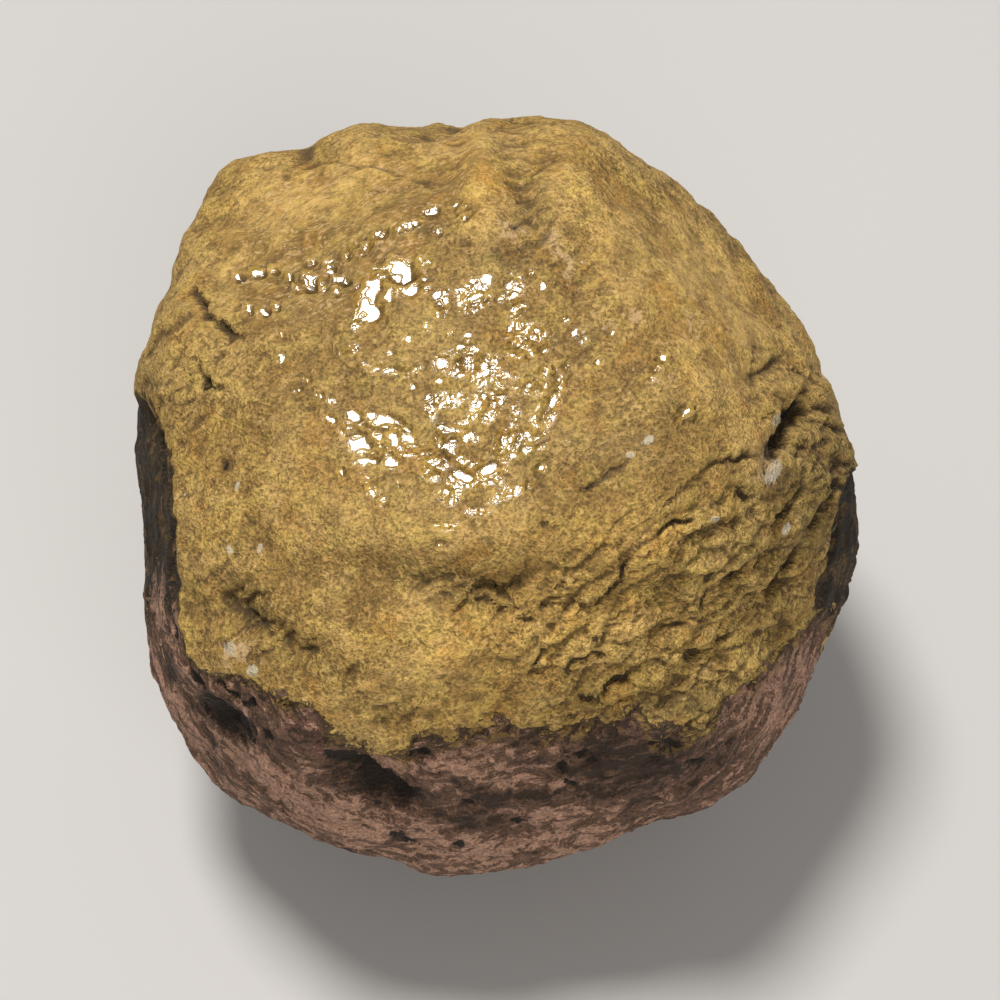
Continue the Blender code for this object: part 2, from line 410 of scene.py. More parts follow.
def blot(x, y, middle_x, middle_y, long_way, short_way, turn):
    """A soft oval spot on the map: 1 in the middle, falling off by its half-widths."""
    cosine, sine = math.cos(math.radians(turn)), math.sin(math.radians(turn))
    u = ((x - middle_x) * cosine + (y - middle_y) * sine) / long_way
    v = ((y - middle_y) * cosine - (x - middle_x) * sine) / short_way
    return np.exp(-(u * u + v * v) / 2)


def large_marks(points):
    """Height of the lumps and ridges less the depth of the hollows and creases."""
    x, y, seen = on_map(points)
    height = sum(rise * blot(x, y, *place) for *place, rise in LUMPS)
    x = x + layered_swell(points, LINE_WAVES)
    y = y + layered_swell(points + 40.0, LINE_WAVES)
    for line, half_width, rise in RIDGES_AND_CREASES:
        gap, along = away_from_line(x, y, line)
        height += rise * tapered(along, LINE_ENDS) * np.exp(-((gap / half_width) ** 2))
    return height * seen


for wavelength, height in SWELLS:
    radius = radius + height * swell(directions * radius[:, None], wavelength)
points = directions * radius[:, None]
rough = rough_share(directions)
x, y, seen = on_map(points)
for *place, share in ROUGH_SPOTS:
    rough = np.maximum(rough, share * np.minimum(1.3 * blot(x, y, *place), 1) * seen)
radius = radius + ledges(points, rough) + large_marks(points)
radius = radius + rim_marks(directions) + far_lumps(directions)


# The lips and cracks. Where a bed has broken off, a sharp lip stands over a crack, which is painted
# black as shade further on. Each is a line on the map with its upper bed on the left: height of the
# lip, half-width and depth of crack.

LIPS = (
    (
        ((5.1, -14.4), (5.6, -13.9), (6.2, -13.0), (7.1, -12.9), (7.8, -12.2), (9.1, -12.6)),
        0.5,
        0.26,
        0.5,
    ),
    (
        ((6.4, -15.8), (8.2, -16.3), (8.9, -15.2), (10.1, -14.4), (11.0, -13.8), (11.7, -13.1)),
        0.5,
        0.26,
        0.5,
    ),
    (((9.2, -13.5), (11.0, -13.3), (12.3, -12.9), (13.5, -13.1), (14.6, -13.5)), 0.5, 0.3, 0.5),
    (((8.1, -8.8), (8.7, -8.0), (9.6, -7.2), (10.2, -6.3), (10.1, -5.3), (11.3, -4.3)), 0.3, 0.24, 0.5),
    (((13.4, -10.5), (14.7, -10.0), (15.9, -9.7)), 0.3, 0.18, 0.35),
    (((15.0, -13.0), (16.5, -12.2), (17.7, -11.6), (19.5, -10.5)), 0.5, 0.24, 0.5),
    (((4.8, -10.8), (6.2, -10.4), (8.0, -10.9)), 0.3, 0.16, 0.3),
    (((7.6, -11.7), (8.8, -10.9), (9.6, -10.6)), 0.25, 0.17, 0.3),
    (((1.4, -9.9), (3.0, -8.9), (4.3, -8.0), (5.1, -7.9), (6.9, -7.8)), 0.45, 0.2, 0.3),
    (((2.7, -14.0), (3.4, -12.3), (5.1, -12.2)), 0.3, 0.18, 0.35),
    (((6.8, 0.8), (8.4, 1.8), (9.3, 2.3), (10.7, 3.5)), 0.3, 0.2, 0.35),
    (((15.8, 2.0), (17.9, 3.4), (19.1, 3.6), (21.9, 4.0)), 0.4, 0.18, 0.4),
    (((25.6, 4.4), (27.2, 5.4)), 0.3, 0.2, 0.4),
    (((16.4, -8.9), (16.7, -7.4), (17.3, -5.6)), 0.3, 0.2, 0.4),
    (((18.2, -6.6), (19.6, -5.4), (21.4, -4.9)), 0.3, 0.2, 0.4),
    (((12.6, -2.9), (14.2, -1.9), (16.0, -1.5)), 0.3, 0.15, 0.3),
    (((3.3, -1.6), (4.4, -1.9)), 0.1, 0.14, 0.3),
    (((-3.7, -6.7), (-2.4, -6.9), (-0.7, -6.8), (0.6, -7.6), (1.6, -8.6)), 0.45, 0.2, 0.22),
    (((-2.6, -8.0), (-1.0, -8.3), (0.2, -8.9), (1.0, -9.6)), 0.3, 0.2, 0.2),
    (((1.7, -9.9), (3.2, -9.7), (4.8, -10.0)), 0.3, 0.2, 0.3),
    (((-22.3, -8.3), (-20.8, -8.6), (-19.6, -9.5), (-18.6, -10.9)), 0.4, 0.2, 0.15),
    (((-17.8, -11.0), (-16.4, -11.8), (-14.3, -12.5)), 0.3, 0.2, 0.15),
    (((-24.8, 17.6), (-24.0, 16.2), (-22.9, 14.9), (-21.6, 13.8), (-20.9, 13.9)), 0.6, 0.4, 0.8),
    (((-24.6, 12.0), (-24.4, 10.7), (-23.7, 9.8), (-22.8, 10.1)), 0.4, 0.36, 0.7),
    (((22.2, 3.2), (23.0, 4.9), (24.3, 6.6), (25.9, 8.6)), 0.5, 0.7, 1.5),
    (((-29.0, 8.6), (-28.4, 6.8), (-27.4, 5.0), (-26.9, 2.6), (-26.8, 0.0)), 0.5, 0.45, 1.1),
    (((-26.9, 1.0), (-26.6, -3.0), (-26.6, -8.5)), 0.3, 0.3, 0.6),
    (
        ((-5.2, 24.8), (-6.3, 26.0), (-9.5, 26.8), (-12.5, 27.5), (-17.0, 27.3), (-20.0, 26.2)),
        0.4,
        0.5,
        0.12,
    ),
    (((25.4, -2.4), (26.4, -0.6), (27.5, 1.1), (28.3, 2.3)), 0.45, 0.35, 0.6),
    (((26.0, -5.3), (27.1, -4.1), (28.0, -2.4), (28.6, 0.2)), 0.4, 0.35, 0.6),
    (((22.5, -1.7), (23.7, -0.6), (24.8, 1.1), (25.1, 2.9)), 0.45, 0.35, 0.6),
    (((20.5, -5.8), (21.3, -4.7), (22.5, -2.4)), 0.4, 0.32, 0.5),
    (((21.6, -8.2), (22.2, -7.0), (23.7, -5.3), (25.1, -3.5)), 0.45, 0.35, 0.6),
    (((18.4, 1.6), (19.8, 1.4), (21.4, 0.4)), 0.3, 0.3, 0.4),
)

# How sharp a lip is and how far back it reaches, and the waves in its line
LIP_EDGE = 0.25
LIP_REACH = 1.6
CRACK_WAVES = ((2.2, 0.4), (0.8, 0.35))

# A crack wider than this, in millimetres, runs on evenly; a narrower one comes and goes
STEADY_WIDTH = 0.22
NARROWEST = 0.24

# A crack or pit this deep is painted fully black as shade, and that painted shade of a crack reaches
# this far past its edge
FULLY_DARK = 0.4
DARK_REACH = 0.8

# Single pits: place on the map, half-widths along and across, turn, and depth
PITS = (
    (-22.5, 2.9, 0.42, 0.36, 20, 0.3),
    (1.4, 22.4, 0.55, 0.24, -10, 0.22),
    (-12.0, -22.3, 2.0, 0.6, -20, 1.0),
    (-10.6, -23.7, 1.3, 0.7, -35, 1.1),
    (-8.2, -24.5, 1.6, 0.6, -8, 1.0),
    (24.5, 7.3, 1.2, 0.45, 56, 1.5),
    (23.1, 5.1, 1.0, 0.35, 62, 0.9),
    (-22.9, -18.2, 2.1, 0.7, -36, 1.4),
    (-22.5, -15.6, 0.8, 0.22, -42, 0.7),
    (-20.7, -17.0, 0.6, 0.2, -28, 0.6),
    (-24.9, -15.2, 1.1, 0.25, -58, 0.7),
    (-25.8, -12.9, 0.2, 1.2, 18, 0.6),
    (-27.0, -10.3, 0.18, 1.3, 8, 0.6),
    (-19.2, -19.6, 0.7, 0.2, -35, 0.5),
    (7.0, -21.4, 0.55, 0.24, 5, 0.7),
    (5.4, -22.5, 0.45, 0.24, 10, 0.6),
    (7.8, -22.2, 0.4, 0.2, 0, 0.5),
    (6.1, -23.5, 0.4, 0.22, -20, 0.5),
    (13.1, -20.3, 0.45, 0.2, 0, 0.5),
    (14.8, -20.4, 0.5, 0.22, 10, 0.5),
    (13.3, -21.6, 0.5, 0.22, 0, 0.5),
    (16.8, -21.8, 0.7, 0.25, 15, 0.6),
    (1.7, -26.8, 0.5, 0.22, 10, 0.5),
    (-2.2, -25.1, 0.5, 0.2, 0, 0.4),
    (-3.2, -28.8, 0.45, 0.25, 0, 0.5),
    (-7.8, -28.3, 0.9, 0.4, -10, 0.8),
    (-6.5, -21.0, 0.8, 0.28, -8, 0.5),
)

points = directions * radius[:, None]
x, y, seen = on_map(points)
x += layered_swell(points, CRACK_WAVES)
y += layered_swell(points + 40.0, CRACK_WAVES)
crack_gap = np.full(len(points), FAR_AWAY)
crack_near = np.zeros(len(points))
ragged = np.clip(0.75 + 1.3 * swell(points + 13.0, 1.5), 0.1, 1.6)
for line, lip, half_width, depth in LIPS:
    gap, along = away_from_line(x, y, line)
    taper = tapered(along, 0.0)
    beside = smooth_step(-LIP_EDGE, LIP_EDGE, gap) - 0.5
    radius += lip * taper * beside * np.exp(-np.abs(gap) / LIP_REACH) * seen
    uneven = 1 + (ragged - 1) * min(1.0, STEADY_WIDTH / half_width)
    under = (gap + half_width) / np.maximum(half_width * (0.4 + 0.6 * uneven), NARROWEST)
    radius -= depth * taper * uneven * np.exp(-(under**2)) * seen
    dark = min(1.0, depth / FULLY_DARK) * np.exp(-((gap / (DARK_REACH + half_width)) ** 2))
    near = dark * taper * uneven * seen
    crack_gap = np.where(near > crack_near, under, crack_gap)
    crack_near = np.maximum(near, crack_near)
pits = np.zeros(len(points))
for *place, depth in PITS:
    spot = blot(x, y, *place) * seen
    radius -= depth * spot
    pits = np.maximum(pits, min(1.0, depth / FULLY_DARK) * spot)


# The small relief. The skin is sandy and chipped: it breaks into overlapping chips that dip up the
# beds, with low scaly steps, a lumpy crust between, and pits where grains have dropped out.

# Size and height of each layer of chips, of scaly steps and of lumpy crust, with how much the
# chips tilt and step, the seed of their tilts, and the share of a scaly step that its lip takes
CHIPS = ((2.7, 0.6), (1.35, 0.34))
CHIP_TILT = 0.6
CHIP_STEP = 0.35
CHIP_SEED = 7
SCALES = ((1.9, 0.2), (0.95, 0.1))
SCALE_LIP = 0.22
CRUSTS = ((3.4, 0.3), (1.3, 0.16))

# How far apart the small pits may be, how deep and wide they are, and the share of places without
PIT_SPACING = 2.6
PIT_DEPTH = 0.4
PIT_REACH = 0.28
NO_PIT_SHARE = 0.45

# What the grain's places are squeezed to along the beds, which draws its pattern out
DRAWN_OUT = 0.65

# Smooth flats: middle of each as a lean on the face, its reach, and how smooth it is
SMOOTH_FLATS = ((45, 60, 27, 0.6), (122, 60, 23, 1.0), (92, 66, 20, 0.5))


def drawn_along(points, way):
    """Points squeezed square to a way, so that a pattern read there is drawn out across it."""
    up_beds = (points @ way)[:, None] * way
    return up_beds + (points - up_beds) * DRAWN_OUT


def crust(points, size, octaves):
    """Lumpy crust, about -1 to 1."""
    return np.array([noise.fractal(Vector(point), 0.9, 2.1, octaves) for point in points / size])


def scaly_steps(height, drawn, spacing):
    """Short broken steps, about -0.5 to 0.5, each with a sharp lower lip."""
    beds = height / spacing + 0.9 * crust(drawn, 2.4 * spacing, 3)
    patchy = np.clip(0.45 + 1.3 * swell(drawn + spacing * 31.0, 2.0 * spacing), 0, 1.4)
    return patchy * steps_up(beds, SCALE_LIP)


def chips(points, size):
    """Overlapping chips: each cell is a plate that dips up the beds, so its lower edge stands out."""
    dip = Vector(BEDDING)
    heights = np.empty(len(points))
    for index, point in enumerate(points / size):
        place = Vector(point)
        middle = noise.voronoi(place)[1][0]
        tilt = noise.noise_vector(middle * 7.3) * CHIP_TILT - dip
        heights[index] = CHIP_STEP * noise.cell(middle * 5.1) + (place - middle).dot(tilt)
    return heights


def small_pits(points, spacing):
    """Round pits at some of a scatter of places: how deep each point is in one, 0 to 1."""
    depth = np.empty(len(points))
    for index, point in enumerate(points / spacing):
        distances, places = noise.voronoi(Vector(point))
        reach = PIT_REACH * max(0.0, noise.cell(places[0] * 9.7) - NO_PIT_SHARE)
        depth[index] = max(0.0, 1 - distances[0] / reach) if reach > 0.02 else 0.0
    return smooth_step(0.0, 0.8, depth)


points = directions * radius[:, None]
smooth = np.zeros(len(points))
for toward, lean, reach, share in SMOOTH_FLATS:
    turned = turned_from(directions, face_direction(toward, lean))
    smooth = np.maximum(smooth, share * smooth_step(reach, 0.6 * reach, turned))
warp = np.stack([swell(points + shift, 3.0) for shift in (11.0, 23.0, 37.0)], axis=1)
torn = np.stack([crust(points + shift, 1.4, 3) for shift in (17.0, 29.0, 43.0)], axis=1)
bent = points + 0.6 * warp
drawn = drawn_along(bent, BEDDING)
chipped = np.clip(rough + 0.12, 0, 1) * (1 - 0.8 * smooth)
chipped *= 1 - 0.6 * np.clip(np.maximum(pits, crack_near), 0, 1)
small = np.zeros(len(points))
noise.seed_set(CHIP_SEED)
for size, height in CHIPS:
    small += height * chipped * chips(drawn + 0.2 * torn + size * 40.0, size)
for spacing, height in SCALES:
    small += height * chipped * scaly_steps(bent @ BEDDING, drawn, spacing)
for size, height in CRUSTS:
    small += height * (1 - 0.5 * np.maximum(smooth, rough)) * crust(points, size, 2)
dropped = small_pits(bent, PIT_SPACING)
small -= PIT_DEPTH * dropped * np.clip(0.4 + rough, 0, 1)


# The dark skin. Low on the stone the ochre crust has come away from an older skin, mauve-brown, its
# mauve partly a painted reflection, and finely wrinkled round the stone. The edge of the crust stands
# over it, ragged, all the way round.

# Where the crust ends on the map, and at the back as a height from the stone's middle
CRUST_EDGE = (
    (-27.0, -7.8), (-25.4, -12.8), (-23.6, -14.2), (-20.8, -15.2), (-17.9, -16.6), (-15.1, -17.2),
    (-13.8, -19.3), (-10.6, -20.4), (-7.5, -21.2), (-6.7, -19.8), (-3.3, -19.3), (0.2, -18.4),
    (4.4, -19.2), (8.6, -18.1), (11.7, -17.2), (12.8, -19.0), (17.6, -18.7), (19.1, -16.9),
    (20.3, -15.2), (23.3, -13.0), (25.3, -10.4), (26.6, -9.2),
)  # fmt: skip
CRUST_EDGE_WAVES = ((2.4, 0.7), (0.9, 0.4))
BACK_EDGE_LEVEL = -7.5
BACK_EDGE_WAVES = ((8.0, 4.0), (21.0, 6.0))
CRUST_THICKNESS = 0.35

# Size and height of the wrinkles, how drawn out they are, and the stone's radius across them
WRINKLES = ((2.4, 0.38), (1.1, 0.22))
WRINKLE_LENGTH = 2.4
STONE_RADIUS = 27.0


def below_crust(points):
    """How far each point is below the edge of the crust, in millimetres; negative on the crust."""
    x, y, seen = on_map(points)
    edge_x, edge_y = np.array(CRUST_EDGE).T
    ragged = layered_swell(points, CRUST_EDGE_WAVES)
    near_side = np.interp(x, edge_x, edge_y) + ragged - y
    far_side = BACK_EDGE_LEVEL - points[:, 2] - 1.5 * ragged
    far_side -= layered_swell(points, BACK_EDGE_WAVES)
    on_front = smooth_step(0.0, 4.0, points @ OUT)
    return on_front * near_side + (1 - on_front) * far_side


# The flanks, painted nearly black as shade where they turn away, each on the left of a line across the
# map, and their ends up the map
FLANKS = (
    (((-26.3, -12.0), (-26.6, -3.0), (-26.9, 1.0), (-27.4, 5.0), (-28.6, 8.0)), -9.5, 8.5),
    (((30.0, 5.5), (28.9, 1.6), (27.5, -3.3), (26.5, -7.4), (25.5, -12.0)), -9.0, 4.0),
)

# How soft the flanks' edge is, and the waves in it
FLANK_FADE = 0.8
FLANK_WAVES = ((2.2, 0.5), (0.9, 0.3))

x, y, seen = on_map(points)
painted_flank_shade = np.zeros(len(points))
wobble = layered_swell(points, FLANK_WAVES)
for line, bottom, top in FLANKS:
    gap, along = away_from_line(x, y, line)
    ends = smooth_step(bottom - 3.0, bottom + 2.0, y + wobble)
    ends *= smooth_step(top + 1.0, top - 1.0, y + wobble)
    side = np.clip(0.5 + (gap + wobble) / FLANK_FADE, 0, 1) * ends
    painted_flank_shade = np.maximum(painted_flank_shade, side * smooth_step(-6.0, -2.0, points @ OUT))
below = below_crust(points)
skin = np.maximum(smooth_step(-0.2, 0.2, below), smooth_step(0.3, 0.7, painted_flank_shade))
turned = np.arccos(np.clip(directions @ OUT, -1, 1))
around = np.arctan2(directions @ UP, directions @ ACROSS)
ring = STONE_RADIUS / WRINKLE_LENGTH
rings = np.stack([np.cos(around) * ring, np.sin(around) * ring, turned * STONE_RADIUS], axis=1)
bent_rings = rings + 0.5 * warp + 0.3 * torn
wrinkled = np.zeros(len(points))
for size, height in WRINKLES:
    wrinkled += height * crust(bent_rings + size * 9.0, size, 3)
    wrinkled += height * scaly_steps(-bent_rings[:, 2], bent_rings, size)
radius -= CRUST_THICKNESS * skin
facing_front = smooth_step(-8.0, 2.0, points @ OUT)
small = small * (1 - 0.75 * skin) + wrinkled * skin * (0.45 + 0.55 * facing_front)


# The damp gloss. The face is damp on the crown: it sparkles from beads between the sand grains,
# in patches, and shines from small smooth facets that all throw the overhead lamp's light back.

LAMP_WAY = np.array([-0.2, 0.15, 1.0])
LAMP_WAY /= np.linalg.norm(LAMP_WAY)
LAMP_DISTANCE = 700.0

# The whole damp area, then the patches of sparkle, then the facets: place, half-widths and turn
DAMP_AREA = ((-3.5, 6.0, 8.0, 7.0, 20), (-9.0, 15.0, 9.0, 5.0, 10), (5.0, 11.0, 8.5, 7.0, 0))
SPARKLES = (
    (-10.3, 16.8, 2.2, 1.2, 60),
    (-7.3, 18.0, 1.5, 1.4, 0),
    (-10.6, 21.1, 1.6, 0.5, 30),
    (-7.4, 22.5, 1.4, 0.4, 20),
    (-5.5, 23.5, 0.8, 0.5, 15),
    (-2.8, 23.6, 0.9, 0.9, 0),
    (-4.7, 16.2, 0.8, 1.1, 0),
    (-2.0, 16.8, 1.4, 1.1, 40),
    (1.4, 16.9, 0.7, 1.5, 0),
    (2.8, 13.1, 2.0, 1.3, -25),
    (-12.0, 12.3, 0.8, 0.4, 15),
    (-9.4, 10.8, 1.9, 0.4, -10),
    (-4.8, 11.2, 0.7, 0.6, 0),
    (-1.4, 10.7, 2.3, 1.4, -20),
    (-4.2, 8.2, 1.8, 0.7, 15),
    (-0.9, 7.8, 1.3, 1.4, -60),
    (4.1, 7.6, 2.8, 0.8, 65),
    (2.5, 5.1, 1.3, 1.0, 0),
    (-9.6, 5.2, 2.7, 1.7, -10),
    (-10.1, 0.8, 1.6, 0.5, -50),
    (-13.6, 6.7, 0.8, 0.5, 20),
    (-4.7, 4.1, 1.6, 2.2, 0),
    (-1.9, 2.1, 2.3, 1.1, 5),
    (-3.9, 0.4, 1.0, 0.8, 0),
    (1.3, 0.8, 1.8, 0.5, 25),
    (-1.6, -1.0, 1.0, 0.3, 0),
    (-4.3, -2.1, 1.0, 0.4, -5),
    (15.5, 7.1, 0.9, 0.5, 30),
    (12.9, 10.8, 1.2, 0.4, 60),
    (1.0, 4.7, 1.4, 1.2, 20),
    (1.4, 7.0, 0.4, 1.3, 0),
    (3.1, 4.6, 1.5, 0.5, 35),
    (3.1, 9.3, 1.6, 0.6, 5),
    (4.1, 10.6, 0.7, 0.5, 0),
    (2.3, 12.0, 1.5, 0.6, 20),
    (-2.6, 5.4, 0.9, 0.8, 0),
    (-5.6, 3.0, 0.8, 1.2, 0),
    (-9.3, 16.0, 0.6, 1.4, 0),
    (-7.9, 1.2, 0.2, 0.7, 20),
)
FACETS = (
    (-15.4, 17.8, 0.75, 0.85, 0),
    (-13.8, 19.1, 0.5, 0.65, 0),
    (-12.8, 18.0, 0.85, 0.42, 0),
    (-19.7, 18.6, 0.6, 0.42, 10),
    (-18.4, 18.9, 0.5, 0.38, -20),
    (-19.3, 15.5, 0.55, 0.45, 0),
    (-9.6, 16.5, 1.1, 1.5, -25),
    (-10.4, 16.9, 2.3, 0.75, 66),
    (-10.5, 15.5, 1.1, 0.9, 20),
    (-7.9, 18.9, 1.3, 1.1, 0),
    (-7.1, 17.2, 1.0, 0.5, 20),
    (-6.0, 19.6, 0.8, 0.35, 0),
    (-4.7, 16.7, 0.8, 0.85, 0),
    (-5.5, 23.6, 0.75, 0.5, 20),
    (-9.4, 10.7, 1.5, 0.32, -5),
    (-11.8, 6.8, 0.8, 0.6, 0),
    (-9.3, 6.7, 1.6, 0.65, -10),
    (-11.4, 4.7, 1.0, 0.9, 0),
    (-9.8, 5.2, 0.8, 0.5, 0),
    (-8.6, 5.0, 0.6, 0.8, 0),
    (-7.3, 5.2, 0.6, 0.8, 0),
    (-10.8, 3.1, 1.2, 0.45, 5),
    (-8.7, 3.0, 0.8, 0.6, 0),
    (-0.7, 2.5, 0.9, 0.6, 45),
    (-2.9, 2.1, 1.0, 0.5, -25),
    (4.3, 7.8, 1.5, 0.38, 60),
    (-4.5, 11.2, 0.6, 0.6, 0),
    (-5.0, -2.1, 0.6, 0.4, -20),
    (-0.9, 18.1, 0.6, 0.6, 0),
    (-1.6, 16.6, 0.8, 0.35, 15),
    (15.5, 7.1, 0.6, 0.4, 20),
)

# Places of the single beads, which are all of one size
BEADS = (
    (-21.3, 18.4), (-17.1, 18.3), (-16.4, 17.3), (-15.3, 19.6), (-14.4, 17.6), (-13.2, 17.1),
    (-21.4, 15.9), (-20.4, 15.7), (-18.2, 15.9), (-17.8, 13.5), (-17.7, 11.6), (-15.7, 9.9),
    (-16.4, 9.0), (-14.6, 8.5), (-13.6, 8.1), (-8.8, 12.1), (-7.4, 13.2), (-5.8, 14.2),
    (-4.0, 13.7), (-3.0, 12.6), (-2.5, 13.4), (-2.0, 15.5), (0.3, 16.6), (0.9, 17.7), (1.8, 14.4),
    (2.7, 18.7), (3.7, 17.6), (5.5, 14.8), (6.3, 13.7), (7.0, 12.9), (8.3, 11.2), (9.3, 13.7),
    (13.6, 11.6), (5.7, 5.1), (5.7, 10.9), (-4.9, 9.8), (-5.6, 8.3), (-7.0, 9.4), (-4.7, -3.7),
    (-4.8, 21.9), (11.9, -4.0), (-12.4, 20.0), (-6.5, 10.8), (0.2, 9.4), (-12.9, 2.4), (3.6, 2.6),
)  # fmt: skip
BEAD_SIZE = 0.44

# The facets of a sparkle: their size, how flat they are, and the most that one cuts or fills. The
# most that a larger facet does, and the least share by which any facet faces outward
TERRACE_SIZE = 1.1
TERRACE_SHARE = 0.9
TERRACE_CUT = 0.28
POOL_CUT = 0.6
STEEPEST = 0.3

# How far inside the solid's box the outside stays
BOX_MARGIN = 0.02
BOX_ROUNDING = 0.8


def lamp_facing(point):
    """The way a facet at a point must face to throw the lamp's light to the eye."""
    to_eye = OUT * EYE_DISTANCE - point
    to_lamp = LAMP_WAY * LAMP_DISTANCE - point
    middle = to_eye / np.linalg.norm(to_eye) + to_lamp / np.linalg.norm(to_lamp)
    return middle / np.linalg.norm(middle)


def terraces(points, directions):
    """Distance from the centre to small flats that all face the lamp, one in each cell of stone."""
    places = points / TERRACE_SIZE
    cells = np.array([noise.voronoi(Vector(place))[1][0] for place in places])
    _, cell = np.unique(cells.round(3), axis=0, return_inverse=True)
    cell = cell.ravel()
    count = np.bincount(cell)
    middles = np.stack([np.bincount(cell, axis) / count for axis in points.T], axis=1)
    ways = np.array([lamp_facing(middle) for middle in middles])
    level = np.sum(middles * ways, axis=1)[cell]
    return level / np.maximum(np.sum(directions * ways[cell], axis=1), STEEPEST)


x, y, seen = on_map(points)
damp = np.clip(sum(blot(x, y, *patch) for patch in DAMP_AREA) * 1.2, 0, 1) * seen
wet = np.max([blot(x, y, *patch) for patch in SPARKLES], axis=0)
wet = smooth_step(0.35, 0.6, wet + 0.35 * swell(points, 1.1)) * seen
small *= 1 - 0.25 * damp
radius += small
sparkling = wet > 0
flat = terraces(directions[sparkling] * radius[sparkling, None], directions[sparkling])
change = np.clip(flat - radius[sparkling], -TERRACE_CUT, TERRACE_CUT)
radius[sparkling] += TERRACE_SHARE * wet[sparkling] * change
pool = np.zeros(len(points))
for facet in FACETS + tuple((*bead, BEAD_SIZE, BEAD_SIZE, 0) for bead in BEADS):
    middle = np.argmin(np.hypot(x - facet[0], y - facet[1]) + 9.0 * (1 - seen))
    way = lamp_facing(directions[middle] * radius[middle])
    inside = smooth_step(0.45, 0.7, blot(x, y, *facet) + 0.2 * swell(points + 5.0, 0.9)) * seen
    flat = radius[middle] * (directions[middle] @ way) / np.maximum(directions @ way, STEEPEST)
    radius += inside * np.clip(flat - radius, -POOL_CUT, POOL_CUT)
    pool = np.maximum(pool, inside)
wet = np.maximum(wet, pool)

# The outside stays within the solid's own box, whose lower side is the flat that it rests on
stone_middle = np.array([0.0, 0.0, BASE_DEPTH])
for corner, sign in zip(cad_box, (-1.0, 1.0)):
    reaches = sign * (np.array(corner) / METRES - stone_middle) - BOX_MARGIN
    for normal, reach in zip(sign * np.eye(3), reaches):
        radius = cut_flat(radius, directions, normal, reach, BOX_ROUNDING)
points = directions * radius[:, None]
for vert, point in zip(ball.verts, points + stone_middle):
    vert.co = Vector(point) * METRES
rind_mesh = bpy.data.meshes.new("rind")
ball.to_mesh(rind_mesh)
ball.free()
rind_mesh.shade_smooth()
rind = bpy.data.objects.new("rind", rind_mesh)
bpy.context.scene.collection.objects.link(rind)


# Where the colours go. The hollows are darkened, as painted shade with some dirt, and the crests get a
# pale painted highlight. The flanks on both sides are painted nearly black as shade, and a few grains
# of pale quartz show.

# How much lighter or darker the ochre is in places, partly its own tone and partly painted light and
# shade on the brow, the peak, the gully and the right flank: spot on the map, and change
TONES_AND_SHADES = (
    (-9.0, -6.6, 8.0, 1.6, 4, -0.17),
    (-15.7, 21.9, 0.8, 0.5, 20, -0.3),
    (-18.5, 25.0, 5.0, 2.0, 5, 0.08),
    (-8.0, 23.0, 3.0, 2.0, 30, -0.12),
    (0.2, 20.2, 1.6, 1.0, 0, -0.35),
    (3.4, 24.3, 1.3, 2.6, 12, -0.2),
    (1.5, 24.6, 0.25, 1.3, 6, -0.3),
    (2.6, 24.3, 0.3, 1.5, 8, -0.35),
    (3.8, 23.8, 0.25, 1.2, 12, -0.3),
    (4.5, 27.0, 4.5, 2.5, -25, 0.18),
    (-1.6, 25.4, 1.2, 2.8, 8, 0.28),
    (-3.0, -13.5, 5.5, 3.0, 0, 0.28),
    (9.5, -10.5, 5.0, 2.4, 15, 0.35),
    (-17.0, -13.5, 4.0, 1.4, -20, -0.2),
    (16.5, 14.5, 9.0, 3.4, -42, 0.28),
    (11.5, 3.5, 4.5, 1.8, 22, -0.2),
    (7.5, -4.8, 6.5, 3.2, 20, 0.32),
    (-4.0, -2.4, 7.0, 1.4, 4, 0.15),
    (26.6, 0.6, 5.0, 1.9, 75, -0.6),
    (24.0, 4.0, 2.6, 1.0, 60, -0.25),
    (15.6, -16.7, 3.4, 1.0, 5, -0.55),
    (-10.0, 27.3, 5.0, 2.0, 5, 0.13),
    (-20.4, -9.4, 2.4, 1.0, -35, -0.3),
    (-1.0, -7.6, 3.2, 0.8, -10, -0.4),
)

# Grains and patches of quartz: place, half-widths and turn
QUARTZ_PATCHES = (
    (22.6, 2.3, 0.95, 0.5, 60),
    (23.0, 6.6, 0.5, 0.3, 50),
    (17.9, -1.6, 0.3, 0.2, 0),
    (23.7, -2.4, 0.5, 0.25, 60),
    (10.9, 3.7, 0.3, 0.22, 0),
    (12.4, 4.9, 0.45, 0.3, 30),
    (-22.0, -12.2, 0.4, 0.5, 0),
    (-20.1, -14.0, 0.4, 0.4, 0),
    (-21.4, 1.2, 0.15, 0.4, -20),
    (-22.0, -4.1, 0.22, 0.4, 10),
    (-19.5, -3.9, 0.2, 0.35, -10),
)

# Streaks where quartz shows through the ochre
HAZES = (
    (1.0, 22.0, 1.0, 0.4, -15),
    (4.9, 20.9, 1.2, 0.4, -62),
    (6.0, 18.9, 0.7, 0.35, -40),
    (11.4, 15.1, 0.7, 0.35, 10),
    (16.2, 14.3, 0.3, 0.6, 0),
    (8.9, 14.2, 0.6, 0.3, 60),
    (13.0, 9.9, 0.5, 0.35, 0),
    (22.2, 3.2, 1.6, 0.7, 60),
    (-21.3, -12.6, 0.9, 0.6, -30),
)
